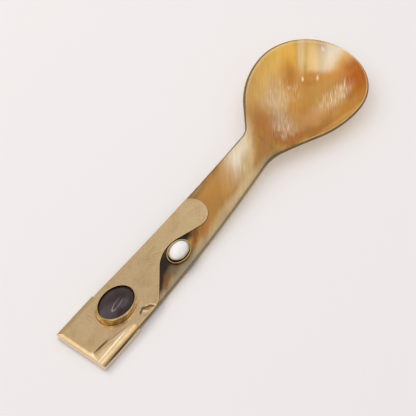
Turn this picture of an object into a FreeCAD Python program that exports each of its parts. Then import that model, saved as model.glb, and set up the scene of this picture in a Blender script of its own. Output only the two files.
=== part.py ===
import FreeCAD, Part
import math
import os

# Horn serving spoon: a pressed and sawn plate of horn whose handle end carries
# folded brass sheet and two set stones. Millimetres, +Z up, +X from the handle
# end to the bowl's tip. The origin is under the middle of the whole spoon, on
# the face that it rests on.

os.makedirs("parts", exist_ok=True)
Vec = FreeCAD.Vector

# Pressed plate before it is sawn, and how closely its sections stand
plate_spare = 8.4
flat_steps = 3
bend_steps = 6
dish_steps = 4

# Bowl
overall_length = 258.5
bowl_width = 71.0
bowl_depth = 11.4
bowl_wall = 2.6
left_side_radius = 58.0
left_flare_angle = 38.0
right_side_radius = 68.0
right_flare_angle = 28.0
right_side_ahead = 3.3
dish_before_neck = 10.0
dish_past_neck = 16.0
rim_climb = 1.2
rim_climb_run = 34.0

# Handle, with its left side on +Y
handle_thickness = 3.8
mouth_x = 32.0
bend_start = 48.0
neck_left_half = 10.5
neck_right_half = 11.6
left_at_mouth = 18.9
right_at_mouth = 13.8
right_belly = 13.8
neck_radius_left = 12.0
neck_radius_right = 25.0
face_edge_round = 1.2
back_edge_round = 0.9

# Folded brass tray under the handle end
tray_sheet = 0.9
tray_width = 34.0
tray_length = 30.6
tray_turn = -2.0
tray_right_corner = 13.7
tray_fold_round = 0.6

# Brass front plate over the handle
plate_sheet = 0.8
glue_gap = 0.05
side_gap = 0.1
plate_inset_left = 0.5
plate_inset_right = 0.3
crest_x = 81.6
crest_from_edge = 11.8
crest_radius = 22.0
rise_angle = 35.0
lobe_x = 107.8
lobe_from_edge = 8.1
lobe_radius = 10.0
wave_start_round = 12.0
plate_edge_round = 0.3

# Where the front plate is dressed down over the horn's pared end
dressed_drop = 0.65
end_roll_width = 2.0
left_roll_width = 3.0
right_roll_width = 2.6
right_roll_drop = 0.6
facet_width_end = 8.6
facet_width_mouth = 4.0
facet_slope = 0.1
dressed_run_out = 0.2
dent_x = 42.8
dent_width = 10.0
dent_depth = 0.6

# Large oval cabochon and its bezel
large_length = 24.7
large_width = 17.6
large_height = 6.4
large_girdle = 3.6
large_x = 33.8
large_y = 3.8
large_turn = -3.5
large_bezel_wall = 0.45
large_bezel_height = 4.7
large_bezel_flare = 0.4
large_bezel_lip = 0.25
large_lip_height = 0.6
large_stone_gap = 0.2

# Small oval cabochon, its stepped bezel and the peg that holds it
small_length = 14.0
small_width = 9.8
small_height = 5.4
small_girdle = 2.4
small_x = 82.6
small_y = -4.0
small_turn = 3.0
small_base_sheet = 0.6
small_bezel_wall = 0.4
small_bezel_height = 3.0
small_bezel_lip = 0.12
small_lip_height = 0.5
collar_gap = 0.35
collar_wall = 0.55
collar_height = 1.6
peg_diameter = 2.4
peg_length = 2.2
small_stone_gap = 0.08

# Sizes that follow from the driving ones
half_bowl = bowl_width / 2
plate_half_width = half_bowl + plate_spare
widest_x = overall_length - half_bowl
horn_floor = tray_sheet + glue_gap
horn_top = horn_floor + handle_thickness
rim_height = bowl_depth + bowl_wall
dish_curve = bowl_depth / half_bowl ** 2
tray_wall_height = horn_top - dressed_drop
plate_lift = glue_gap + plate_sheet
wall_room = tray_sheet + side_gap
far = overall_length
hair = 0.01
full_turn = 360


def side_point(side, angle):
    """Point of a side arc of the bowl, by the angle turned from its fullest place."""
    radius, fullest_x = side
    turn = math.radians(angle)
    return fullest_x - radius * math.sin(turn), half_bowl - radius * (1 - math.cos(turn))


def flare(side, angle, x):
    """Half width of the straight flare behind a side arc."""
    touch_x, touch_y = side_point(side, angle)
    return touch_y - math.tan(math.radians(angle)) * (touch_x - x)


def neck_place(side, angle, half):
    """Where a flare has come in to the neck's half width."""
    touch_x, touch_y = side_point(side, angle)
    return touch_x - (touch_y - half) / math.tan(math.radians(angle))


left_side = (left_side_radius, widest_x)
right_side = (right_side_radius, widest_x + right_side_ahead)
mean_side = ((left_side_radius + right_side_radius) / 2, widest_x)
mean_flare_angle = (left_flare_angle + right_flare_angle) / 2
neck_left_x = neck_place(left_side, left_flare_angle, neck_left_half)
neck_right_x = neck_place(right_side, right_flare_angle, neck_right_half)
neck_x = (neck_left_x + neck_right_x) / 2
dish_fade_start = neck_x - dish_before_neck
dish_fade_end = neck_x + dish_past_neck
neck_rise = rim_height - rim_climb - handle_thickness - horn_floor
bend_radius = ((neck_x - bend_start) ** 2 + neck_rise ** 2) / (2 * neck_rise)
right_control = 2 * right_belly - (right_at_mouth + neck_right_half) / 2


def left_half(x):
    """Distance of the handle's straight left edge from the bowl's axis."""
    share = (x - mouth_x) / (neck_left_x - mouth_x)
    return left_at_mouth + (neck_left_half - left_at_mouth) * share


def right_half(x):
    """Distance of the handle's bellied right edge from the bowl's axis."""
    share = (x - mouth_x) / (neck_right_x - mouth_x)
    rest = 1 - share
    return rest ** 2 * right_at_mouth + 2 * rest * share * right_control + share ** 2 * neck_right_half


def handle_rise(x):
    """How far the handle has curved upwards at x."""
    run = max(0.0, x - bend_start)
    return bend_radius - math.sqrt(bend_radius ** 2 - run ** 2)


def square_half_width(x):
    """Square of the bowl's half width, taken as the same on both sides."""
    if x >= widest_x:
        return half_bowl ** 2 - (x - widest_x) ** 2
    if x < side_point(mean_side, mean_flare_angle)[0]:
        return flare(mean_side, mean_flare_angle, x) ** 2
    radius = mean_side[0]
    return (half_bowl - radius + math.sqrt(radius ** 2 - (widest_x - x) ** 2)) ** 2


def ease(value, start, end):
    """Smooth step from 0 at start to 1 at end."""
    share = min(1.0, max(0.0, (value - start) / (end - start)))
    return share * share * (3 - 2 * share)


def rim_line(x):
    """Height of the handle's top face and, past the neck, of the bowl's rim."""
    if x <= neck_x:
        return horn_floor + handle_thickness + handle_rise(x)
    slope = (neck_x - bend_start) / bend_radius
    run = min(x - neck_x, rim_climb_run)
    climb = slope * run * (1 - run / (2 * rim_climb_run))
    full_climb = slope * rim_climb_run / 2
    return rim_height - rim_climb + climb * rim_climb / full_climb


def section(x):
    """Closed outline across the pressed plate at x, wider than the spoon."""
    share = ease(x, dish_fade_start, dish_fade_end)
    curve = dish_curve * share
    floor = rim_line(x) - curve * square_half_width(x)
    thick = handle_thickness + (bowl_wall - handle_thickness) * share
    side = floor + curve * plate_half_width ** 2
    middle = 2 * floor - side
    top = Part.BezierCurve()
    top.setPoles([Vec(x, -plate_half_width, side), Vec(x, 0, middle), Vec(x, plate_half_width, side)])
    low = Part.BezierCurve()
    low_left = Vec(x, plate_half_width, side - thick)
    low_right = Vec(x, -plate_half_width, side - thick)
    low.setPoles([low_left, Vec(x, 0, middle - thick), low_right])
    left = Part.makeLine(Vec(x, plate_half_width, side), low_left)
    right = Part.makeLine(low_right, Vec(x, -plate_half_width, side))
    return Part.Wire([top.toShape(), left, low.toShape(), right])


def spaced(start, end, count):
    """Evenly spaced places from start up to, but not including, end."""
    return [start + (end - start) * step / count for step in range(count)]


def pressed_slab():
    """The plate before it is sawn to its outline: flat, bent up, then dished."""
    past_tip = overall_length + bowl_wall
    places = spaced(-bowl_wall, bend_start, flat_steps) + spaced(bend_start, dish_fade_start, bend_steps)
    places += spaced(dish_fade_start, dish_fade_end, dish_steps) + spaced(dish_fade_end, widest_x, dish_steps)
    places += spaced(widest_x, past_tip, dish_steps) + [past_tip]
    return Part.makeLoft([section(x) for x in places], True, False)


def arc(first, middle, last):
    return Part.Arc(first, middle, last).toShape()


def line(first, last):
    return Part.makeLine(first, last)


def prism(edges):
    """Upright block over a closed outline, well past the plate above and below."""
    face = Part.Face(Part.Wire(edges))
    face.translate(Vec(0, 0, -far))
    return face.extrude(Vec(0, 0, 2 * far))


def round_upright(solid, x, y, radius):
    """Rounds the upright edge that stands at x, y."""
    spot = Vec(x, y, 0)
    edges = [e for e in solid.Edges if e.Vertexes[0].Point.sub(e.Vertexes[-1].Point).Length > far]
    nearest = min(edges, key=lambda e: Vec(e.Vertexes[0].X, e.Vertexes[0].Y, 0).distanceToPoint(spot))
    return solid.makeFillet(radius, [nearest])


def spoon_prism():
    """Outline of the handle from the tray's mouth on, and of the bowl."""
    left_start = Vec(mouth_x, left_at_mouth, 0)
    left_neck = Vec(neck_left_x, neck_left_half, 0)
    right_start = Vec(mouth_x, -right_at_mouth, 0)
    right_neck = Vec(neck_right_x, -neck_right_half, 0)
    belly = Part.BezierCurve()
    belly.setPoles([right_neck, Vec((mouth_x + neck_right_x) / 2, -right_control, 0), right_start])

    def left(angle):
        x, y = side_point(left_side, angle)
        return Vec(x, y, 0)

    def right(angle):
        x, y = side_point(right_side, angle)
        return Vec(x, -y, 0)

    tip = Vec(overall_length, 0, 0)
    nose_turn = math.sqrt(1 / 2)
    nose_middle = Vec(widest_x + half_bowl * nose_turn, half_bowl * nose_turn, 0)
    right_nose = Part.Ellipse(right(0), Vec(overall_length, 0, 0), Vec(right_side[1], 0, 0))
    outline = [
        line(right_start, left_start),
        line(left_start, left_neck),
        line(left_neck, left(left_flare_angle)),
        arc(left(left_flare_angle), left(left_flare_angle / 2), left(0)),
        arc(left(0), nose_middle, tip),
        Part.ArcOfEllipse(right_nose, 0, math.pi / 2).toShape(),
        arc(right(0), right(right_flare_angle / 2), right(right_flare_angle)),
        line(right(right_flare_angle), right_neck),
        belly.toShape(),
    ]
    solid = prism(outline)
    solid = round_upright(solid, left_neck.x, left_neck.y, neck_radius_left)
    return round_upright(solid, right_neck.x, right_neck.y, neck_radius_right)


def in_tray(shape):
    """Turns and moves a shape from the tray's own corner to its place."""
    shape.rotate(Vec(0, 0, 0), Vec(0, 0, 1), tray_turn)
    shape.translate(Vec(0, -tray_right_corner, 0))
    return shape


def block(from_x, to_x, from_y, to_y, low, high):
    return Part.makeBox(to_x - from_x, to_y - from_y, high - low, Vec(from_x, from_y, low))


def between(start, end):
    """Straight-sided block between two like outlines."""
    return Part.makeLoft([start, end], True, True)


def rolled_outline(place, inner, outer, height, slope, drop):
    """Outline of what a rolled edge loses: it leaves the face at inner and has dropped at outer."""
    run = abs(outer - inner)
    away = (outer - inner) / run
    over = height + handle_thickness
    spare = tray_sheet
    middle = height - slope * run / 2 - (drop - slope * run) / 4
    last_slope = (2 * drop - slope * run) / run
    end = (outer + away * spare, height - drop - spare * last_slope)
    lines = [(outer, height - drop), end, (end[0], over), (inner, over), (inner, height)]
    corners = [place(*corner) for corner in lines]
    bow = arc(corners[-1], place((inner + outer) / 2, middle), corners[0])
    return Part.Wire([bow] + [line(first, last) for first, last in zip(corners, corners[1:])])


def dressing():
    """What the horn's end loses so that the sheet can be dressed down over it."""
    past = tray_width + tray_length
    left_end = tray_length + dressed_run_out
    edge = wall_room + right_roll_width

    def facet_width(x):
        return facet_width_end + (facet_width_mouth - facet_width_end) * x / tray_length

    def facet_height(x, y):
        return horn_top - facet_slope * max(0.0, facet_width(x) - y)

    def end_roll(y):
        return rolled_outline(lambda x, z: Vec(x, y, z), end_roll_width, 0, horn_top, 0, dressed_drop)

    def left_roll(x):
        inner = tray_width - left_roll_width
        return rolled_outline(lambda y, z: Vec(x, y, z), inner, tray_width, horn_top, 0, dressed_drop)

    def right_roll(x):
        drop = facet_slope * right_roll_width + right_roll_drop
        return rolled_outline(lambda y, z: Vec(x, y, z), edge, wall_room, facet_height(x, edge), facet_slope, drop)

    def facet(x):
        over = horn_top + handle_thickness
        width = facet_width(x)
        low = facet_height(x, -tray_sheet)
        corners = [(-tray_sheet, low), (width, horn_top), (width, over), (-tray_sheet, over), (-tray_sheet, low)]
        return Part.makePolygon([Vec(x, y, z) for y, z in corners])

    cuts = [
        between(end_roll(-tray_sheet), end_roll(past)),
        between(left_roll(-tray_sheet), left_roll(left_end)),
        between(facet(-tray_sheet), facet(tray_length)),
        between(right_roll(-tray_sheet), right_roll(tray_length)),
    ]
    return [in_tray(cut) for cut in cuts]


def dent():
    """Ball that leaves a shallow knock at the right edge. Its poles point along the handle."""
    radius = (dent_width ** 2 / 4 + dent_depth ** 2) / (2 * dent_depth)
    centre = Vec(dent_x, -right_at_mouth, horn_top + radius - dent_depth)
    return Part.makeSphere(radius, centre, Vec(1, 0, 0))


def end_block():
    """Block that fits on the tray's floor and between its walls, and runs past its mouth."""
    return in_tray(block(wall_room, tray_length + tray_width, wall_room, tray_width - wall_room, horn_floor, far))


def front_prism():
    """Outline of the front plate: the tray's end, then a wave and a round lobe."""
    tray_corners = [Vec(0, wall_room, 0), Vec(0, tray_width, 0), Vec(tray_length, tray_width, 0)]
    right_end, left_end, left_mouth = [in_tray(Part.Vertex(corner)).Point for corner in tray_corners]
    left_step = Vec(left_mouth.x, left_half(left_mouth.x) - plate_inset_left, 0)
    right_mouth = Vec(mouth_x, -(right_half(mouth_x) - plate_inset_right), 0)

    crest_y = left_half(crest_x) - plate_inset_left - crest_from_edge
    edge_at_lobe = Vec(lobe_x, left_half(lobe_x) - plate_inset_left, 0)
    crest = Vec(crest_x, crest_y - crest_radius, 0)
    lobe = edge_at_lobe - Vec(0, lobe_from_edge, 0)
    rise = math.radians(rise_angle)
    rise_touch = crest + Vec(-math.sin(rise), math.cos(rise), 0) * crest_radius
    edge_y = right_half(rise_touch.x - crest_radius) - plate_inset_right
    wave_start = Vec(rise_touch.x - (rise_touch.y + edge_y) / math.tan(rise), -edge_y, 0)

    apart = lobe - crest
    fall = math.asin((crest_radius + lobe_radius) / apart.Length) - math.atan2(apart.y, apart.x)
    outwards = Vec(math.sin(fall), math.cos(fall), 0)
    fall_touch = crest + outwards * crest_radius
    lobe_touch = lobe - outwards * lobe_radius

    along = (edge_at_lobe - left_step).normalize()
    foot = left_step + along * (lobe - left_step).dot(along)
    lobe_end = foot + along * math.sqrt(lobe_radius ** 2 - (lobe - foot).Length ** 2)
    lobe_tip = lobe + Vec(lobe_radius, 0, 0)

    outline = [
        line(right_end, left_end),
        line(left_end, left_mouth),
        line(left_mouth, left_step),
        line(left_step, lobe_end),
        arc(lobe_end, lobe_tip, lobe_touch),
        line(lobe_touch, fall_touch),
        arc(fall_touch, crest + Vec(0, crest_radius, 0), rise_touch),
        line(rise_touch, wave_start),
        line(wave_start, right_mouth),
        line(right_mouth, right_end),
    ]
    return round_upright(prism(outline), wave_start.x, wave_start.y, wave_start_round)


def is_upright(edge):
    first = edge.Vertexes[0].Point
    last = edge.Vertexes[-1].Point
    return math.hypot(first.x - last.x, first.y - last.y) < hair


def sawn_edges(body, on_face):
    """Edges along the sawn outline, on the face or on the back of the plate."""
    found = []
    for edge in body.Edges:
        middle = edge.valueAt((edge.FirstParameter + edge.LastParameter) / 2)
        at_mouth = all(abs(vertex.X - mouth_x) < hair for vertex in edge.Vertexes)
        above = middle.z > rim_line(middle.x) - bowl_wall / 2
        if above == on_face and not is_upright(edge) and not at_mouth:
            found.append(edge)
    return found


def horn_spoon(slab, pared):
    """Bowl and handle, rounded along every sawn edge and pared at the end."""
    body = slab.common(spoon_prism())
    body = body.makeFillet(face_edge_round, sawn_edges(body, True))
    body = body.makeFillet(back_edge_round, sawn_edges(body, False))
    before_mouth = block(-far, mouth_x, -far, far, -far, far)
    end = pared.common(end_block()).common(before_mouth)
    return body.cut(dent()).fuse(end).removeSplitter()


def lowered(shape, drop):
    copy = shape.copy()
    copy.translate(Vec(0, 0, -drop))
    return copy


def front_plate(slab, pared):
    """Sheet with an eased top edge that follows the horn and its pared end."""
    form = lowered(slab, -plate_lift).common(front_prism())
    top_edges = []
    for edge in form.Edges:
        middle = edge.valueAt((edge.FirstParameter + edge.LastParameter) / 2)
        if middle.z > rim_line(middle.x) + glue_gap and not is_upright(edge):
            top_edges.append(edge)
    form = form.makeFillet(plate_edge_round, top_edges)
    dressed = form.cut([lowered(cut, -plate_lift) for cut in dressing() + [dent()]])
    return dressed.cut(lowered(pared, -glue_gap))


def back_tray():
    outer = block(0, tray_length, 0, tray_width, 0, tray_wall_height)
    folds = []
    for edge in outer.Edges:
        first = edge.Vertexes[0].Point
        last = edge.Vertexes[-1].Point
        flat = first.z < hair and last.z < hair
        corner = is_upright(edge) and first.x < hair
        at_mouth = min(first.x, last.x) > tray_length - hair
        if (flat or corner) and not at_mouth:
            folds.append(edge)
    outer = outer.makeFillet(tray_fold_round, folds)
    room = block(tray_sheet, far, tray_sheet, tray_width - tray_sheet, tray_sheet, far)
    tray = in_tray(outer.cut(room))
    return tray.cut([cut.common(front_prism()) for cut in dressing()])


def oval(half_length, half_width, z):
    """Oval wire about the Z axis, long along X."""
    ring = Part.Ellipse(Vec(half_length, 0, z), Vec(0, half_width, z), Vec(0, 0, z))
    return Part.Wire(ring.toShape())


def oval_block(half_length, half_width, low, high):
    return Part.Face(oval(half_length, half_width, low)).extrude(Vec(0, 0, high - low))


def oval_taper(half_length, half_width, low, high, grow):
    """Oval block whose top is larger all round by grow."""
    wires = [oval(half_length, half_width, low), oval(half_length + grow, half_width + grow, high)]
    return Part.makeLoft(wires, True, True)


def cabochon(length, width, height, girdle):
    """Oval stone with a flat back, an upright girdle and a turned dome."""
    half_length = length / 2
    half_width = width / 2
    dome_height = height - girdle
    round_width = (half_width ** 2 / dome_height + dome_height) / 2
    round_length = half_length * round_width / half_width
    centre = Vec(0, 0, height - round_width)
    profile = Part.Ellipse(centre + Vec(round_length, 0, 0), centre + Vec(0, 0, round_width), centre)
    bow = Part.ArcOfEllipse(profile, 0, math.pi).toShape()
    chord = line(bow.Vertexes[-1].Point, bow.Vertexes[0].Point)
    turned = Part.Face(Part.Wire([bow, chord])).revolve(centre, Vec(1, 0, 0), full_turn)
    dome = oval_block(half_length, half_width, 0, height).common(turned)
    return dome.fuse(oval_block(half_length, half_width, 0, girdle)).removeSplitter()


def bezel_ring(half_length, half_width, wall, height, lip, lip_height, flare_out):
    """Upright collar of sheet, spread at its foot and rubbed over at its top."""
    shoulder = height - lip_height
    outer_length = half_length + wall
    outer_width = half_width + wall
    foot = oval_taper(outer_length + flare_out, outer_width + flare_out, 0, shoulder, -flare_out)
    top = oval_taper(outer_length, outer_width, shoulder, height, -lip)
    room = oval_block(half_length, half_width, -height, shoulder)
    mouth = oval_taper(half_length, half_width, shoulder, height, -lip)
    return foot.fuse(top).cut(room.fuse(mouth))


def place_on_face(shape, x, y, turn, lift):
    """Turns a setting and seats it on the handle's curved face at x, y."""
    run = max(0.0, x - bend_start)
    lean = math.degrees(math.asin(run / bend_radius))
    shape.rotate(Vec(0, 0, 0), Vec(0, 0, 1), turn)
    shape.rotate(Vec(0, 0, 0), Vec(0, 1, 0), -lean)
    shape.translate(Vec(x, y, rim_line(x) + lift))
    return shape


def large_setting():
    room_length = large_length / 2 + large_stone_gap
    room_width = large_width / 2 + large_stone_gap
    ring = bezel_ring(room_length, room_width, large_bezel_wall, large_bezel_height,
                      large_bezel_lip, large_lip_height, large_bezel_flare)
    stone = cabochon(large_length, large_width, large_height, large_girdle)
    return [place_on_face(piece, large_x, large_y, large_turn, plate_lift + glue_gap) for piece in (ring, stone)]


def small_setting():
    room_length = small_length / 2 + small_stone_gap
    room_width = small_width / 2 + small_stone_gap
    ring = bezel_ring(room_length, room_width, small_bezel_wall, small_bezel_height,
                      small_bezel_lip, small_lip_height, 0)
    groove = small_bezel_wall + collar_gap
    edge = groove + collar_wall
    collar = oval_block(room_length + edge, room_width + edge, 0, collar_height)
    collar = collar.cut(oval_block(room_length + groove, room_width + groove, 0, collar_height))
    base = oval_block(room_length + edge, room_width + edge, -small_base_sheet, 0)
    peg = Part.makeCylinder(peg_diameter / 2, peg_length, Vec(0, 0, -small_base_sheet - peg_length))
    bezel = base.fuse([ring, collar, peg]).removeSplitter()
    stone = cabochon(small_length, small_width, small_height, small_girdle)
    lift = glue_gap + small_base_sheet
    return [place_on_face(piece, small_x, small_y, small_turn, lift) for piece in (bezel, stone)]


def peg_hole():
    depth = peg_length + horn_top
    hole = Part.makeCylinder(peg_diameter / 2 + glue_gap, depth, Vec(0, 0, -peg_length))
    return place_on_face(hole, small_x, small_y, small_turn, 0)


def main():
    slab = pressed_slab()
    pared = slab.cut(dressing() + [dent()])
    large_bezel, large_stone = large_setting()
    small_bezel, small_stone = small_setting()
    pieces = {
        "horn_spoon": horn_spoon(slab, pared).cut(peg_hole()),
        "back_tray": back_tray(),
        "front_plate": front_plate(slab, pared),
        "large_bezel": large_bezel,
        "large_stone": large_stone,
        "small_bezel": small_bezel,
        "small_stone": small_stone,
    }
    for name, shape in pieces.items():
        shape.translate(Vec(-overall_length / 2, 0, 0))
        print(name, "valid" if shape.isValid() else "broken", round(shape.Volume), "cubic mm")
        shape.exportStep("parts/" + name + ".step")


main()
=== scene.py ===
import math
import bpy
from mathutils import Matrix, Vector

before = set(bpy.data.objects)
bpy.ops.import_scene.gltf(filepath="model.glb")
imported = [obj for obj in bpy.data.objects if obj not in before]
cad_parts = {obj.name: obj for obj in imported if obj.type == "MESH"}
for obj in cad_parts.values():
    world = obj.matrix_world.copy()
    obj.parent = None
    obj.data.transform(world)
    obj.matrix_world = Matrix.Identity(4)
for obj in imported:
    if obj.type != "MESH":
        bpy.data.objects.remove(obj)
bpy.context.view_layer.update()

millimetre = 0.001
smooth = {"interpolation_type": "SMOOTHSTEP"}  # a Map Range that eases in and out
inColour = {"data_type": "RGBA"}  # a Mix of two colours


# Small helpers. Lengths are in mm and turns in degrees.

def hexToLinear(code):
    # sRGB hex to the linear values that the shaders take
    channels = [int(code[i:i + 2], 16) / 255 for i in (1, 3, 5)]
    linear = [c / 12.92 if c <= 0.04045 else ((c + 0.055) / 1.055) ** 2.4 for c in channels]
    return (*linear, 1.0)


def addNode(tree, kind, sockets=(), **settings):
    # one shader node with its settings. Its sockets are given by name or in order, each a value, a node or a socket.
    node = tree.nodes.new("ShaderNode" + kind)
    for name, value in settings.items():
        setattr(node, name, value)
    inUse = [socket for socket in node.inputs if socket.enabled]
    if not isinstance(sockets, dict):
        sockets = dict(enumerate(sockets))
    for name, value in sockets.items():
        target = inUse[name] if isinstance(name, int) else next(s for s in inUse if s.name == name)
        if isinstance(value, bpy.types.Node):
            value = next(socket for socket in value.outputs if socket.enabled)
        if isinstance(value, bpy.types.NodeSocket):
            tree.links.new(value, target)
        else:
            target.default_value = value
    return node


def startMaterial(name):
    # a bare material, and the place on the object in mm
    material = bpy.data.materials.new(name)
    material.use_nodes = True
    tree = material.node_tree
    tree.nodes.clear()
    inMetres = addNode(tree, "TexCoord").outputs["Object"]
    place = addNode(tree, "VectorMath", {"Vector": inMetres, "Scale": 1 / millimetre}, operation="SCALE")
    return material, tree, place


def giveMaterial(piece, material):
    piece.data.materials.clear()
    piece.data.materials.append(material)
    for polygon in piece.data.polygons:
        polygon.material_index = 0


def stretchedNoise(tree, place, across, along, turn, detail=3.0, rough=0.55, deep=None):
    # noise in cells of these sizes, long in the direction of turn, and deep in height
    turned = addNode(tree, "Mapping", {"Vector": place, "Rotation": (0, 0, -math.radians(turn))})
    size = (1 / along, 1 / across, 1 / (deep or across))
    squeezed = addNode(tree, "Mapping", {"Vector": turned, "Scale": size})
    return addNode(tree, "TexNoise", {"Vector": squeezed, "Scale": 1.0, "Detail": detail, "Roughness": rough})


def ovalPlace(tree, place, x, y, halfLength, halfWidth, turn, z=0, halfHeight=1000):
    # the place as a turned oval has it, with the oval's line at 1, and the distance from its centre
    local = addNode(tree, "Mapping", {
        "Vector": place, "Location": (x, y, z), "Rotation": (0, 0, math.radians(turn)),
        "Scale": (halfLength, halfWidth, halfHeight)}, vector_type="TEXTURE")
    return local, addNode(tree, "VectorMath", [local], operation="LENGTH")


def softOval(tree, place, x, y, halfLength, halfWidth, turn, core=0.1, z=0, halfHeight=1000):
    # 1 in the oval's core, half on its line, and 0 as far outside the line as the core is inside
    reach = ovalPlace(tree, place, x, y, halfLength, halfWidth, turn, z, halfHeight)[1]
    return addNode(tree, "MapRange", [reach, core, 2 - core, 1.0, 0.0], **smooth)


def ovalLine(tree, place, x, y, halfLength, halfWidth, turn, width):
    # 1 on the oval's line and 0 beside it, with the width as a share of the oval's size
    local, reach = ovalPlace(tree, place, x, y, halfLength, halfWidth, turn)
    offLine = addNode(tree, "Math", [reach, 1.0], operation="SUBTRACT")
    distance = addNode(tree, "Math", [offLine], operation="ABSOLUTE")
    return addNode(tree, "MapRange", [distance, width / 3, width, 1.0, 0.0], **smooth), local


def facingUp(tree):
    # 1 where the surface looks up, 0 where it stands upright and -1 where it looks down
    normal = addNode(tree, "NewGeometry").outputs["Normal"]
    return addNode(tree, "SeparateXYZ", [normal]).outputs["Z"]


print("helpers ready")


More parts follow.
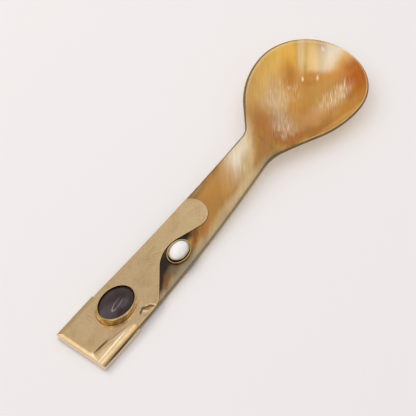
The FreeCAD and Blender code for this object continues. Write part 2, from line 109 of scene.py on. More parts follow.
# Horn: cattle horn, pressed hot, sawn, scraped and polished to a soft gloss. Growth streaks run askew to the
# spoon, milky and amber clouds lie under the surface, and the sawn edge is darker, partly since one looks along
# its layers and partly as painted shade on the sides that face away from the light.
horn = {
    "base": "#c4934a", "darkStreak": "#9a6a30", "paleStreak": "#f3e3c2", "grainAngle": 35,
    "streakWidth": 1.1, "streakLength": 26.0, "streakDepth": 80.0, "cloudWidth": 7.0, "cloudLength": 22.0,
    "wander": 3.0, "wanderWidth": 7.0, "wanderLength": 16.0,
    "smallWander": 1.3, "smallWanderWidth": 3.0, "smallWanderLength": 6.0,
    "smallSize": 40.0, "smallCore": 0.45, "cloudCore": 0.1,
    "streakLift": (1.5, 1.45, 1.35, 1.0), "roughness": 0.2, "gloss": 0.18, "hairDepth": 0.03, "hairBump": 0.08,
    "mottleRange": (0.3, 0.7), "glintRange": (0.46, 0.66),  # where in the noise each begins and is full
    "paleRange": (0.5, 0.8), "paleShare": 0.22, "darkRange": (0.25, 0.5), "darkShare": 0.07,
    "hairRange": (0.3, 0.6), "hairShare": 0.07,
    "edgeHeight": (10.5, 11.5), "lineHeight": (12.0, 12.8),  # where the edge's dark and pale lines begin and are full
    "edge": "#6a5835", "paintedGlowBelowEdge": "#b98445", "paintedRimHighlight": "#f3e2b8", "bowlCentre": 93.75,
    "back": "#d9cdb6", "backShare": 0.75, "lightThrough": "#f9f5ec",
    "neckStart": 34.0, "neckEnd": 50.0, "neckFade": 12.0, "tipStart": 112.0, "tipEnd": 124.0, "tipShare": 0.35,
    "handleFade": 16.0, "handleShare": 0.55, "bowlShare": 0.9, "middle": 4.0,
    # how far the surface leans outwards, as a cosine, where the edge's colours begin and are full
    "leftRimLean": (-0.3, 0.0), "leftSideLean": (0.02, 0.25), "rightLean": (0.35, 0.7),
    "leftLineIn": (-0.6, -0.45), "leftLineOut": (-0.35, -0.2), "leftLineShare": 0.55,
    "rightLineIn": (-0.2, 0.0), "rightLineOut": (0.1, 0.35), "rightLineShare": 0.5,
    # the same for how far up it looks
    "aboveRange": (-0.8, -0.5), "lowerRange": (-0.55, -0.2), "backRange": (-0.7, -0.4),
    # What the eye picks out in the horn: colour, centre x and y, half length and half width, turn from the
    # grain, strength. Later ones lie over earlier ones.
    "clouds": {
        "amber shoulder": ("#fbc962", 103, 27, 24, 12, 0, 0.95),
        "amber left side": ("#edbd62", 84, 22, 18, 11, 0, 0.9),
        "ochre left wall": ("#dfb064", 66, 25, 14, 8, 0, 0.85),
        "ochre near the neck": ("#c69c5e", 50, 18, 10, 5, 20, 0.85),
        "gold column": ("#f9c45a", 107, 22, 13, 4.0, 0, 0.95),
        "pale column": ("#f0d49a", 115, 19, 14, 2.4, 0, 0.8),
        "second gold column": ("#fad48a", 115, 11, 12, 4.0, 0, 0.9),
        "cream nose": ("#fae7c4", 122, 0, 12, 8.5, -25, 1.0),
        "grey veil on the nose": ("#f2e4cd", 127, 1, 7, 6, 0, 0.6),
        "gold at the nose's rim": ("#f8cb78", 120.5, -7.5, 8.5, 4.8, -35, 1.0),
        "burnt tail": ("#b8701f", 110, -26, 13, 5.5, 25, 0.95),
        "tan middle": ("#cc9141", 88, 1, 14, 9, 0, 0.9),
        "olive tan": ("#c39650", 97, -7, 11, 6, 0, 0.8),
        "tan under the nose": ("#ca9247", 105.5, -6.5, 8.5, 5, -60, 0.9),
        "tan by the right wall": ("#c99456", 79, -14, 14, 6, -50, 1.0),
        "brown eye": ("#b3690f", 97.5, 16, 9.5, 4.6, 0, 0.8),
        "small brown eye": ("#ba7b2c", 104, 4, 4.5, 6, 20, 0.75),
        # painted sheen: a pale patch and its foot, where the polish mirrors the light
        "painted sheen patch": ("#dfb484", 104, -16.5, 11, 4.0, -38, 0.75),
        "painted sheen patch's foot": ("#d6aa72", 94, -14.5, 10, 4.0, -44, 0.6),
        "burnt spot": ("#b25a00", 118, -16.0, 10, 7.6, 30, 1.0),
        "brown line under the nose": ("#cd8f3a", 110.0, -2.8, 13.5, 3.2, -90, 0.85),
        "milky pool": ("#d7b58c", 76, 12.5, 11.5, 6.5, 0, 0.85),
        "amber by the pool": ("#cf9f5a", 86, 19, 8, 4, 0, 0.6),
        "brown throat": ("#b5783a", 56, 7, 11, 7, 10, 0.9),
        "milky throat": ("#c49c78", 61, -3, 10, 6, 0, 0.9),
        "brown throat's foot": ("#a8652f", 52, -6, 6, 5, 30, 0.7),
        "right wall by the neck": ("#a4682a", 54, -14, 9, 3.6, -58, 0.95),
        "right wall": ("#ac7029", 68, -21.5, 15, 3.6, -60, 1.0),
        "right wall by the nose": ("#bf8236", 94, -29, 15, 4.0, -45, 0.95),
        "golden rim by the right wall": ("#d29c4c", 86, -31, 16, 1.8, -50, 0.7),
        "cream neck": ("#e8d4a8", 38, 9, 11, 4, -5, 0.9),
        "cream handle": ("#eee1c8", 24, 4, 12, 6.5, -10, 0.95),
        "straw handle": ("#c7ab74", 21, -4, 11, 3.5, 0, 0.9),
        "brown neck": ("#ac7c44", 37, -5, 9, 3.6, -10, 0.9),
        "olive neck edge": ("#93774c", 33, -12, 10, 2.5, -40, 0.9),
        "grey handle": ("#c3975a", 8, 3, 9, 7, -10, 0.9),
        "honey handle": ("#bd8640", -4, 2, 9, 7, -10, 0.9),
        "honey by the lobe": ("#c08a44", -4, 9, 6, 3, 0, 0.85),
        "straw by the lobe": ("#d8b577", -6, 13, 6, 2.4, -30, 0.9),
        "brown handle": ("#b0813f", -12, -4, 9, 5, -20, 0.9),
        "straw right edge": ("#cfb98f", 6, -10, 20, 2.6, -36, 0.85),
        "pale right edge": ("#c0ad86", -30, -12.3, 24, 2.6, -36, 0.9),
        "grey right edge": ("#9a8f76", -55, -12.6, 20, 2.2, -36, 0.95),
        "straw right tail": ("#a89678", -78, -11.5, 9, 2.4, -36, 0.9),
        "brown streak": ("#8a5126", -32.0, -5.0, 7, 1.5, -5, 0.9),
        "russet streak": ("#b07a40", -26, -8, 9, 1.8, -10, 0.6),
        "dark left edge": ("#231a15", -40, 16, 40, 5, -37, 1.0),
        "dark by the stone": ("#261a11", -37.5, 0.6, 8, 3.6, -52, 1.0),
        # painted shadow on the horn under the brass plate's wavy edge
        "painted shadow under the wave": ("#2a231c", -52.5, -0.9, 10.5, 5.6, -24, 1.0),
        "dark foot": ("#2d2118", -60.5, -2.6, 9.5, 3.6, 0, 1.0),
        # painted shade on the horn along the brass plate's foot
        "painted shade along the plate's foot": ("#35271c", -68.5, -6.8, 7, 1.8, -2, 1.0),
        "mottled grey": ("#6f6557", -57.5, -8, 5, 3.0, -30, 0.75),
        # painted highlights: small bright specks where the polish mirrors the lamps
        "first painted highlight": ("#fbeacb", 101.0, 8.7, 1.7, 0.6, 0, 0.8),
        "second painted highlight": ("#f8e4c2", 107.0, 1.2, 1.6, 0.6, 0, 0.75),
        "third painted highlight": ("#edd2a2", 90.0, 12.0, 1.6, 0.5, 0, 0.6),
        "painted highlight near the tip": ("#faeed8", 123.0, 8.0, 1.3, 0.7, 30, 0.6),
        "russet foot": ("#7d5732", -65.5, -8.6, 6, 1.6, -5, 0.85),
    },
    # Painted highlights: places where fine bright streaks of reflection on the polish are painted in: centre x and y,
    # half length and half width, turn, strength
    "paintedGlints": {
        "by the burnt spot": (104.5, -16.5, 7.5, 4.0, -35, 0.95),
        "below it": (97, -14.5, 10, 5, -44, 0.7),
        "on the pool": (79, 13, 14, 9, 0, 0.5),
        "in the middle": (91, 6, 7, 3, 0, 0.35),
        "in the throat": (60, -5, 9, 6, 0, 0.6),
        "on the handle": (24, 2, 10, 6, 0, 0.45),
    },
}


def wandering(tree, place, by, across, along):
    # the place moved about by this much, in cells drawn out along the grain
    wander = stretchedNoise(tree, place, across, along, horn["grainAngle"], 3.0, 0.5, horn["streakDepth"])
    centred = addNode(tree, "VectorMath", [wander.outputs["Color"], (0.5, 0.5, 0.5)], operation="SUBTRACT")
    offset = addNode(tree, "VectorMath", {"Vector": centred, "Scale": 2 * by}, operation="SCALE")
    return addNode(tree, "VectorMath", [place, offset], operation="ADD")


def hornColour(tree, place):
    grain, deep = horn["grainAngle"], horn["streakDepth"]
    darkTone = hexToLinear(horn["darkStreak"])
    broad = stretchedNoise(tree, place, horn["cloudWidth"], horn["cloudLength"], grain, 4.0, 0.55, deep)
    streak = stretchedNoise(tree, place, horn["streakWidth"], horn["streakLength"], grain, 3.0, 0.5, deep)
    hair = stretchedNoise(tree, place, horn["streakWidth"] / 2, horn["streakLength"] / 3, grain, 3.0, 0.6, deep)
    mottle = addNode(tree, "MapRange", [broad, *horn["mottleRange"]], **smooth)
    colour = addNode(tree, "Mix", [mottle, darkTone, hexToLinear(horn["base"])], **inColour)
    # the clouds' outlines wander with the grain, the small ones' less
    warped = wandering(tree, place, horn["wander"], horn["wanderWidth"], horn["wanderLength"])
    nudged = wandering(tree, place, horn["smallWander"], horn["smallWanderWidth"], horn["smallWanderLength"])
    for code, x, y, halfLength, halfWidth, turn, strength in horn["clouds"].values():
        small = halfLength * halfWidth < horn["smallSize"]
        where, core = (nudged, horn["smallCore"]) if small else (warped, horn["cloudCore"])
        mask = softOval(tree, where, x, y, halfLength, halfWidth, grain + turn, core)
        share = addNode(tree, "Math", [mask, strength], operation="MULTIPLY")
        colour = addNode(tree, "Mix", [share, colour, hexToLinear(code)], **inColour)
    # growth streaks, pale and dark, and finer hairs
    pale = addNode(tree, "MapRange", [streak, *horn["paleRange"], 0.0, horn["paleShare"]], **smooth)
    dark = addNode(tree, "MapRange", [streak, *horn["darkRange"], horn["darkShare"], 0.0], **smooth)
    fine = addNode(tree, "MapRange", [hair, *horn["hairRange"], horn["hairShare"], 0.0], **smooth)
    for share, tone in ((pale, horn["streakLift"]), (dark, darkTone), (fine, darkTone)):
        colour = addNode(tree, "Mix", [share, colour, tone], **inColour, blend_type="MULTIPLY")
    # painted highlights: fine pale streaks on the polish
    for x, y, halfLength, halfWidth, turn, strength in horn["paintedGlints"].values():
        mask = softOval(tree, nudged, x, y, halfLength, halfWidth, grain + turn)
        spark = addNode(tree, "MapRange", [hair, *horn["glintRange"], 0.0, strength], **smooth)
        glint = addNode(tree, "Math", [mask, spark], operation="MULTIPLY")
        colour = addNode(tree, "Mix", [glint, colour, hexToLinear(horn["paleStreak"])], **inColour)
    return colour, hair


def outwardLean(tree, x, y):
    # how far the surface leans out from the bowl's middle or the handle's axis, as a cosine
    fromCentre = addNode(tree, "Math", [x, horn["bowlCentre"]], operation="SUBTRACT")
    inBowl = addNode(tree, "MapRange", [x, horn["neckStart"], horn["neckEnd"]], **smooth)
    along = addNode(tree, "Math", [fromCentre, inBowl], operation="MULTIPLY")
    flat = addNode(tree, "CombineXYZ", {"X": along, "Y": y})
    outwards = addNode(tree, "VectorMath", [flat], operation="NORMALIZE")
    normal = addNode(tree, "NewGeometry").outputs["Normal"]
    return addNode(tree, "VectorMath", [outwards, normal], operation="DOT_PRODUCT")


def hornEdges(tree, place, colour):
    axes = addNode(tree, "SeparateXYZ", [place])
    x, y, z = axes.outputs
    lean = outwardLean(tree, x, y)
    upwards = facingUp(tree)
    inBowl = addNode(tree, "MapRange", [x, horn["neckEnd"], horn["neckEnd"] + horn["neckFade"]], **smooth)
    onLeft = addNode(tree, "MapRange", [y, -horn["middle"], horn["middle"]], **smooth)
    above = addNode(tree, "MapRange", [upwards, *horn["aboveRange"]], **smooth)

    # the sawn edge: dark olive all round the rim, fading at the tip and along the handle. The dark is partly the
    # edge's own tone and partly painted shade on the sides that face away from the light
    raised = addNode(tree, "MapRange", [z, *horn["edgeHeight"]], **smooth)
    leftRim = addNode(tree, "MapRange", [lean, *horn["leftRimLean"]], **smooth)
    leftRim = addNode(tree, "Math", [leftRim, raised], operation="MULTIPLY")
    leftSide = addNode(tree, "MapRange", [lean, *horn["leftSideLean"]], **smooth)
    leftEdge = addNode(tree, "Mix", [inBowl, leftSide, leftRim])
    rightEdge = addNode(tree, "MapRange", [lean, *horn["rightLean"]], **smooth)
    edge = addNode(tree, "Mix", [onLeft, rightEdge, leftEdge])
    tip = addNode(tree, "MapRange", [x, horn["tipStart"], horn["tipEnd"], 1.0, horn["tipShare"]], **smooth)
    handle = addNode(tree, "MapRange", [
        x, horn["neckStart"] - horn["handleFade"], horn["neckStart"], horn["handleShare"], horn["bowlShare"]], **smooth)
    for share in (tip, above, handle):
        edge = addNode(tree, "Math", [edge, share], operation="MULTIPLY")
    colour = addNode(tree, "Mix", [edge, colour, hexToLinear(horn["edge"])], **inColour)

    # a painted highlight: a pale line just inside the rim, where its rounding catches the light
    high = addNode(tree, "MapRange", [z, *horn["lineHeight"]], **smooth)
    high = addNode(tree, "Math", [high, inBowl], operation="MULTIPLY")
    lines = []
    for side in ("right", "left"):
        into = addNode(tree, "MapRange", [lean, *horn[side + "LineIn"]], **smooth)
        out = addNode(tree, "MapRange", [lean, *horn[side + "LineOut"], horn[side + "LineShare"], 0.0], **smooth)
        lines.append(addNode(tree, "Math", [into, out], operation="MULTIPLY"))
    line = addNode(tree, "Mix", [onLeft, *lines])
    line = addNode(tree, "Math", [line, high], operation="MULTIPLY")
    colour = addNode(tree, "Mix", [line, colour, hexToLinear(horn["paintedRimHighlight"])], **inColour)

    # a painted glow below the edge, where light comes through the horn, and the back is the horn's outer layer,
    # scraped and paler
    lower = addNode(tree, "MapRange", [upwards, *horn["lowerRange"], 1.0, 0.0], **smooth)
    lower = addNode(tree, "Math", [lower, above], operation="MULTIPLY")
    colour = addNode(tree, "Mix", [lower, colour, hexToLinear(horn["paintedGlowBelowEdge"])], **inColour)
    under = addNode(tree, "MapRange", [upwards, *horn["backRange"], horn["backShare"], 0.0], **smooth)
    return addNode(tree, "Mix", [under, colour, hexToLinear(horn["back"])], **inColour)


def hornMaterial():
    material, tree, place = startMaterial("polished_horn")
    colour, hair = hornColour(tree, place)
    colour = hornEdges(tree, place, colour)
    bump = addNode(tree, "Bump", {
        "Height": hair, "Strength": horn["hairBump"], "Distance": horn["hairDepth"] * millimetre})
    skin = addNode(tree, "BsdfPrincipled", {
        "Base Color": colour, "Roughness": horn["roughness"], "Specular IOR Level": horn["gloss"],
        "IOR": 1.54, "Normal": bump})
    # thin horn lets some of the light through, so its shadow is pale and warm
    through = addNode(tree, "BsdfTransparent", {"Color": hexToLinear(horn["lightThrough"])})
    inShadow = addNode(tree, "LightPath").outputs["Is Shadow Ray"]
    addNode(tree, "OutputMaterial", {"Surface": addNode(tree, "MixShader", [inShadow, skin, through])})
    return material


# Brass: thin sheet, beaten, filed and burnished to a satin. Faint cloudy tarnish, hair scratches both ways,
# and painted shade, darker where the surface is closed in, in seams and creases.
brass = {
    # the pale tone is filed and scratched wear, and also serves for painted highlights
    "colour": "#e6c797", "tarnish": "#c4a06e", "seam": "#3a2a16", "creaseTone": "#473319", "paleWearAndHighlight": "#fff0d4",
    "roughness": 0.2, "smoother": 0.03, "rougher": 0.08, "roughRange": (0.3, 0.7),
    "cloudSize": 8.0, "cloudStretch": 1.6, "cloudTurn": 22.9, "cloudRange": (0.4, 0.75), "cloudShare": 0.7,
    "mottleSize": 1.6, "mottleRange": (0.45, 0.75), "mottleShare": 0.3, "mottleDepth": 0.03, "mottleBump": 0.06,
    "hairWidth": 0.25, "hairLength": 7.0, "hairTurns": (-25, 60), "hairDepth": 0.02, "hairBump": 0.1,
    "seamReach": 0.7, "seamRange": (0.35, 0.8), "seamShare": 0.85,
    "easing": 0.35,  # radius to which burnishing has eased the edges
    "filed": 0.6, "sideRange": (0.2, 0.5), "lineCore": 0.5,
    # Lines in the brass, each a thin lens: tone, centre x and y, half length and half width, turn, strength
    "lines": {
        # painted dark reflections along the fold beside the facet
        "painted dark reflection beside the facet": ("creaseTone", -120.5, -4.5, 5.5, 0.5, -6, 0.9),
        "painted dark reflection on the fold's upper part": ("creaseTone", -109.0, -7.2, 8.0, 0.25, -12, 0.45),
        # painted highlights along the fold, at its end and on the ridge
        "painted highlight on the fold": ("paleWearAndHighlight", -109.0, -8.0, 9.0, 0.5, -12, 0.5),
        "painted highlight at the fold's end": ("paleWearAndHighlight", -127.0, -3.6, 1.4, 0.6, 60, 0.9),
        "painted highlight on the ridge": ("paleWearAndHighlight", -118.0, -9.3, 13.0, 0.5, -1, 1.0),
        "knock's shade": ("creaseTone", -87.0, -9.9, 2.6, 1.2, -50, 0.75),
        "knock's far shade": ("creaseTone", -84.3, -11.0, 1.6, 1.2, -50, 0.5),
        # a painted highlight beside the knock
        "painted highlight by the knock": ("paleWearAndHighlight", -86.9, -6.9, 2.4, 0.9, 30, 0.2),
        "long scratch": ("creaseTone", -62.0, 8.0, 9.0, 0.1, 12, 0.3),
        "crossing scratch": ("creaseTone", -66.0, 10.0, 7.0, 0.1, 55, 0.25),
        "scratch by the stone": ("creaseTone", -109.0, 12.5, 3.0, 0.12, 80, 0.5),
        "second by the stone": ("creaseTone", -111.0, 11.0, 2.5, 0.12, 84, 0.45),
        "fine scratch": ("paleWearAndHighlight", -52.0, 6.0, 6.0, 0.1, -30, 0.6),
    },
    # The folded sheet's groove, in the roll along the right side
    "groove": {
        "centre": (-116.5, -13.75), "halfLength": 15.0, "halfWidth": 0.45, "turn": -1.5, "z": 4.4,
        "halfHeight": 0.8, "core": 0.4},
    # Painted shade on the knock: its rim is darkened as an arc of an oval, on its upper side only
    "knock": {
        "centre": (-87.6, -12.2), "halfLength": 4.6, "halfWidth": 2.9, "turn": -20, "width": 0.2,
        "strength": 0.85, "upperRange": (-0.1, 0.5)},
}


def brassColour(tree, place, cloud, mottle):
    tarnish = hexToLinear(brass["tarnish"])
    clouded = addNode(tree, "MapRange", [cloud, *brass["cloudRange"], 0.0, brass["cloudShare"]], **smooth)
    colour = addNode(tree, "Mix", [clouded, hexToLinear(brass["colour"]), tarnish], **inColour)
    mottled = addNode(tree, "MapRange", [mottle, *brass["mottleRange"], 0.0, brass["mottleShare"]], **smooth)
    colour = addNode(tree, "Mix", [mottled, colour, tarnish], **inColour)
    # painted shade: darker where the surface is closed in, in seams and creases
    openness = addNode(tree, "AmbientOcclusion", {"Distance": brass["seamReach"] * millimetre}, samples=8)
    paintedSeamShade = addNode(tree, "MapRange", [openness.outputs["AO"], *brass["seamRange"], brass["seamShare"], 0.0], **smooth)
    colour = addNode(tree, "Mix", [paintedSeamShade, colour, hexToLinear(brass["seam"])], **inColour)
    for tone, x, y, halfLength, halfWidth, turn, strength in brass["lines"].values():
        mask = softOval(tree, place, x, y, halfLength, halfWidth, turn, brass["lineCore"])
        share = addNode(tree, "Math", [mask, strength], operation="MULTIPLY")
        colour = addNode(tree, "Mix", [share, colour, hexToLinear(brass[tone])], **inColour)
    groove = brass["groove"]
    mask = softOval(tree, place, *groove["centre"], groove["halfLength"], groove["halfWidth"], groove["turn"],
                    groove["core"], groove["z"], groove["halfHeight"])
    colour = addNode(tree, "Mix", [mask, colour, hexToLinear(brass["seam"])], **inColour)
    # the cut sides are filed bright
    upright = addNode(tree, "Math", [facingUp(tree)], operation="ABSOLUTE")
    onSide = addNode(tree, "MapRange", [upright, *brass["sideRange"], brass["filed"], 0.0], **smooth)
    colour = addNode(tree, "Mix", [onSide, colour, hexToLinear(brass["paleWearAndHighlight"])], **inColour)
    # painted shade along the knock's upper rim
    knock = brass["knock"]
    line, local = ovalLine(tree, place, *knock["centre"], knock["halfLength"], knock["halfWidth"],
                           knock["turn"], knock["width"])
    across = addNode(tree, "SeparateXYZ", [local]).outputs["Y"]
    upper = addNode(tree, "MapRange", [across, *knock["upperRange"], 0.0, knock["strength"]], **smooth)
    paintedKnockShade = addNode(tree, "Math", [line, upper], operation="MULTIPLY")
    return addNode(tree, "Mix", [paintedKnockShade, colour, hexToLinear(brass["creaseTone"])], **inColour)


def brassMaterial():
    material, tree, place = startMaterial("burnished_brass")
    cloud = stretchedNoise(tree, place, brass["cloudSize"], brass["cloudSize"] * brass["cloudStretch"],
                           brass["cloudTurn"], 5.0, 0.65)
    mottle = stretchedNoise(tree, place, brass["mottleSize"], brass["mottleSize"], 0, 4.0, 0.6)
    scratches = [stretchedNoise(tree, place, brass["hairWidth"], brass["hairLength"], turn, 2.0)
                 for turn in brass["hairTurns"]]
    hairs = addNode(tree, "Math", scratches, operation="MAXIMUM")
    rough = addNode(tree, "MapRange", [
        cloud, *brass["roughRange"], brass["roughness"] - brass["smoother"], brass["roughness"] + brass["rougher"]],
        **smooth)
    eased = addNode(tree, "Bevel", {"Radius": brass["easing"] * millimetre}, samples=6)
    waves = addNode(tree, "Bump", {
        "Height": mottle, "Strength": brass["mottleBump"], "Distance": brass["mottleDepth"] * millimetre,
        "Normal": eased})
    bump = addNode(tree, "Bump", {
        "Height": hairs, "Strength": brass["hairBump"], "Distance": brass["hairDepth"] * millimetre, "Normal": waves})
    skin = addNode(tree, "BsdfPrincipled", {
        "Base Color": brassColour(tree, place, cloud, mottle), "Metallic": 1.0, "Roughness": rough, "Normal": bump})
    addNode(tree, "OutputMaterial", {"Surface": skin})
    return material


# Bezels: the same brass, polished, so that it mirrors its surroundings in yellow gold. The grooves are darker, as
# painted shade.
bezel = {
    "colour": "#e6c78e", "groove": "#2c1c0c", "roughness": 0.14, "rougher": 0.12, "roughSize": (1.5, 2.0),
    "roughRange": (0.3, 0.7), "rippleSize": 1.1, "rippleDepth": 0.08, "rippleBump": 0.5,
    "grooveReach": 0.9, "grooveRange": (0.35, 0.85), "grooveShare": 0.95,
    "stepCentre": (-46.67, -4.0), "stepHalfLength": 7.72, "stepHalfWidth": 5.6, "stepTurn": 3, "stepWidth": 0.06,
    "stepShare": 0.9, "foot": (5.65, 6.5), "footShare": 0.8,
    "glintSize": 2.6, "glintRange": (0.4, 0.6), "wallTone": 0.5, "wallRange": (0.3, 0.6),
}


def bezelMaterial():
    material, tree, place = startMaterial("polished_brass_bezel")
    # the dark tone serves for painted shade in the grooves and at the foot, and for painted dark reflections
    tarnish = hexToLinear(bezel["groove"])
    # painted shade: darker where the surface is closed in
    openness = addNode(tree, "AmbientOcclusion", {"Distance": bezel["grooveReach"] * millimetre}, samples=8)
    paintedSeamShade = addNode(tree, "MapRange", [
        openness.outputs["AO"], *bezel["grooveRange"], bezel["grooveShare"], 0.0], **smooth)
    # painted shade: a dark line in the small bezel's groove
    step = ovalLine(tree, place, *bezel["stepCentre"], bezel["stepHalfLength"], bezel["stepHalfWidth"],
                    bezel["stepTurn"], bezel["stepWidth"])[0]
    step = addNode(tree, "Math", [step, bezel["stepShare"]], operation="MULTIPLY")
    # painted reflection: the wall is darker between bright patches, as a mirror of its surroundings would be
    upright = addNode(tree, "Math", [facingUp(tree)], operation="ABSOLUTE")
    onWall = addNode(tree, "MapRange", [upright, *bezel["wallRange"], 1.0, 0.0], **smooth)
    paintedGlints = stretchedNoise(tree, place, bezel["glintSize"], bezel["glintSize"], 0)
    paintedDarkReflection = addNode(tree, "MapRange", [paintedGlints, *bezel["glintRange"], bezel["wallTone"], 0.0], **smooth)
    paintedDarkReflection = addNode(tree, "Math", [onWall, paintedDarkReflection], operation="MULTIPLY")
    # painted contact shade: darker towards the bezel's foot, where it stands on the plate
    height = addNode(tree, "SeparateXYZ", [place]).outputs["Z"]
    foot = addNode(tree, "MapRange", [height, *bezel["foot"], bezel["footShare"], 0.0], **smooth)
    colour = hexToLinear(bezel["colour"])
    for share in (paintedSeamShade, step, paintedDarkReflection, foot):
        colour = addNode(tree, "Mix", [share, colour, tarnish], **inColour)
    cloud = stretchedNoise(tree, place, *bezel["roughSize"], 0)
    rough = addNode(tree, "MapRange", [
        cloud, *bezel["roughRange"], bezel["roughness"], bezel["roughness"] + bezel["rougher"]], **smooth)
    ripple = stretchedNoise(tree, place, bezel["rippleSize"], bezel["rippleSize"], 0, 2.0)
    bump = addNode(tree, "Bump", {
        "Height": ripple, "Strength": bezel["rippleBump"], "Distance": bezel["rippleDepth"] * millimetre})
    skin = addNode(tree, "BsdfPrincipled", {
        "Base Color": colour, "Metallic": 1.0, "Roughness": rough, "Normal": bump})
    addNode(tree, "OutputMaterial", {"Surface": skin})
    return material


# Dark stone: a mauve-brown agate cabochon, ground and polished to a glassy skin, with one thin pale curve of
# painted glare on it.
darkStone = {
    "deep": "#2a1a19", "veil": "#3d2b29", "paintedGlare": "#b9a9a8", "roughness": 0.1,
    "cloudSize": (5.0, 7.0), "cloudTurn": 17.2, "cloudRange": (0.35, 0.7),
    "fibreSize": (0.4, 5.0), "fibreTurn": 11.5, "fibreRange": (0.3, 0.6), "curlShare": (0.35, 0.75),
    "curlCentre": (-96.05, 2.1), "curlHalfLength": 5.6, "curlHalfWidth": 1.25, "curlWidth": 0.12, "curlTurn": 4,
    "curlOpening": (0.1, 0.9),
}


def darkStoneMaterial():
    material, tree, place = startMaterial("polished_agate")
    cloud = stretchedNoise(tree, place, *darkStone["cloudSize"], darkStone["cloudTurn"], 5.0)
    veiled = addNode(tree, "MapRange", [cloud, *darkStone["cloudRange"]], **smooth)
    colour = addNode(tree, "Mix", [
        veiled, hexToLinear(darkStone["deep"]), hexToLinear(darkStone["veil"])], **inColour)
    # the painted glare is part of a thin oval line, open towards the bowl and broken by the stone's fibres
    paintedGlare, local = ovalLine(tree, place, *darkStone["curlCentre"], darkStone["curlHalfLength"],
                           darkStone["curlHalfWidth"], darkStone["curlTurn"], darkStone["curlWidth"])
    along = addNode(tree, "SeparateXYZ", [local]).outputs["X"]
    opening = addNode(tree, "MapRange", [along, *darkStone["curlOpening"], 1.0, 0.0], **smooth)
    fibre = stretchedNoise(tree, place, *darkStone["fibreSize"], darkStone["fibreTurn"])
    broken = addNode(tree, "MapRange", [fibre, *darkStone["fibreRange"], *darkStone["curlShare"]], **smooth)
    for share in (opening, broken):
        paintedGlare = addNode(tree, "Math", [paintedGlare, share], operation="MULTIPLY")
    colour = addNode(tree, "Mix", [paintedGlare, colour, hexToLinear(darkStone["paintedGlare"])], **inColour)
    skin = addNode(tree, "BsdfPrincipled", {
        "Base Color": colour, "Roughness": darkStone["roughness"], "IOR": 1.54})
    addNode(tree, "OutputMaterial", {"Surface": skin})
    return material


# White stone: milk-white shell, polished. Light goes a little way into it.
whiteStone = {
    "body": "#fffbf5", "veil": "#f9f2ea", "roughness": 0.15, "cloudSize": (3.0, 5.0), "cloudTurn": 17.2,
    "cloudRange": (0.4, 0.75), "lightDepth": 3.0,
}


def whiteStoneMaterial():
    material, tree, place = startMaterial("polished_white_shell")
    cloud = stretchedNoise(tree, place, *whiteStone["cloudSize"], whiteStone["cloudTurn"])
    veiled = addNode(tree, "MapRange", [cloud, *whiteStone["cloudRange"]], **smooth)
    colour = addNode(tree, "Mix", [
        veiled, hexToLinear(whiteStone["body"]), hexToLinear(whiteStone["veil"])], **inColour)
    skin = addNode(tree, "BsdfPrincipled", {
        "Base Color": colour, "Roughness": whiteStone["roughness"], "IOR": 1.53, "Subsurface Weight": 0.6,
        "Subsurface Radius": (1.0, 0.9, 0.8), "Subsurface Scale": whiteStone["lightDepth"] * millimetre})
    addNode(tree, "OutputMaterial", {"Surface": skin})
    return material


hornSkin = hornMaterial()
brassSkin = brassMaterial()
bezelSkin = bezelMaterial()
nodeMaterials = {
    "horn_spoon": hornSkin, "back_tray": brassSkin, "front_plate": brassSkin,
    "large_bezel": bezelSkin, "small_bezel": bezelSkin,
    "large_stone": darkStoneMaterial(), "small_stone": whiteStoneMaterial(),
}
for nodeName, nodeMaterial in nodeMaterials.items():
    giveMaterial(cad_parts[nodeName], nodeMaterial)
print("materials on", len(nodeMaterials), "pieces")


# Table and backdrop, one pale sheet
table = {"size": 4.0, "colour": "#f6f3f2"}  # size in metres


def makeTable():
    bpy.ops.object.select_all(action="DESELECT")
    bpy.ops.mesh.primitive_plane_add(size=table["size"], location=(0, 0, 0))
    sheet = bpy.context.object
    sheet.name = "table_top"
    material, tree = startMaterial("matt_table_sheet")[:2]
    skin = addNode(tree, "BsdfPrincipled", {
        "Base Color": hexToLinear(table["colour"]), "Roughness": 0.9, "Specular IOR Level": 0.2})
    addNode(tree, "OutputMaterial", {"Surface": skin})
    giveMaterial(sheet, material)


# Soft studio light: a pale surround with two large bright cards above, and a soft key lamp from behind on the
# left. The key is for light and shadow only: the metal mirrors the cards and the surround.
surround = {
    "colour": "#f7f6f8", "level": 0.56, "horizon": 0.9, "overhead": 1.05, "rise": (0.1, 0.85),
    "cards": {  # direction, the angles at which the card is full and ends, extra brightness
        "over the handle end": ((-0.32, 0.25, 0.91), 10, 46, 0.85),
        "over the right side": ((0.47, -0.10, 0.88), 9, 20, 0.8),
    },
}
key = {"place": (0.05, 1.1, 1.3), "size": 0.9, "watts": 6.5, "colour": "#fff6ea"}  # place and size in metres


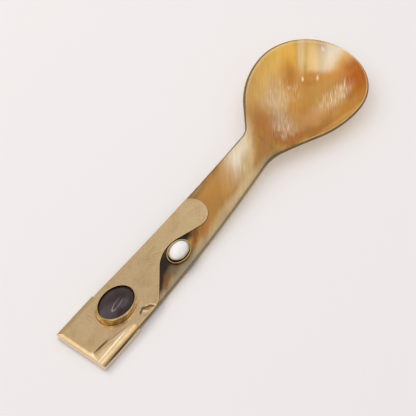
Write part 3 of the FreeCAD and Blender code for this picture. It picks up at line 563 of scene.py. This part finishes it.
def makeSurround():
    world = bpy.data.worlds.new("pale_surround")
    bpy.context.scene.world = world
    world.use_nodes = True
    tree = world.node_tree
    tree.nodes.clear()
    direction = addNode(tree, "TexCoord").outputs["Generated"]
    height = addNode(tree, "SeparateXYZ", [direction]).outputs["Z"]
    shade = addNode(tree, "MapRange", [
        height, *surround["rise"], surround["horizon"], surround["overhead"]], **smooth)
    level = addNode(tree, "Math", [shade, surround["level"]], operation="MULTIPLY")
    for where, inner, outer, extra in surround["cards"].values():
        towards = tuple(Vector(where).normalized())
        match = addNode(tree, "VectorMath", [direction, towards], operation="DOT_PRODUCT")
        card = addNode(tree, "MapRange", [
            match, math.cos(math.radians(outer)), math.cos(math.radians(inner)), 0.0, extra], **smooth)
        level = addNode(tree, "Math", [level, card], operation="ADD")
    glow = addNode(tree, "Background", {"Color": hexToLinear(surround["colour"]), "Strength": level})
    addNode(tree, "OutputWorld", {"Surface": glow})


def makeKey():
    lamp = bpy.data.lights.new("key_lamp", "AREA")
    lamp.shape = "DISK"
    lamp.size = key["size"]
    lamp.energy = key["watts"]
    lamp.color = hexToLinear(key["colour"])[:3]
    holder = bpy.data.objects.new("key_lamp", lamp)
    bpy.context.scene.collection.objects.link(holder)
    holder.location = key["place"]
    holder.rotation_euler = (-Vector(key["place"])).to_track_quat("-Z", "Y").to_euler()
    holder.visible_glossy = False


# Camera at the viewing angle of the photo, for a square picture
view = {
    "target": (-8.62, 2.48, 0.0), "towards": (-455.5, -316.6, 792.1), "focalPixels": 1667, "pictureSize": 416,
    "sensor": 36.0, "near": 0.05, "far": 20,
}


def makeCamera():
    lens = bpy.data.cameras.new("view")
    lens.sensor_width = view["sensor"]
    lens.lens = view["sensor"] * view["focalPixels"] / view["pictureSize"]
    lens.clip_start = view["near"]
    lens.clip_end = view["far"]
    camera = bpy.data.objects.new("view", lens)
    bpy.context.scene.collection.objects.link(camera)
    target = Vector(view["target"]) * millimetre
    back = Vector(view["towards"]) * millimetre
    camera.location = target + back
    camera.rotation_euler = (-back).to_track_quat("-Z", "Y").to_euler()
    bpy.context.scene.camera = camera


makeTable()
makeSurround()
makeKey()
makeCamera()
bpy.context.scene.view_settings.view_transform = "Standard"
print("table, lights and camera ready")
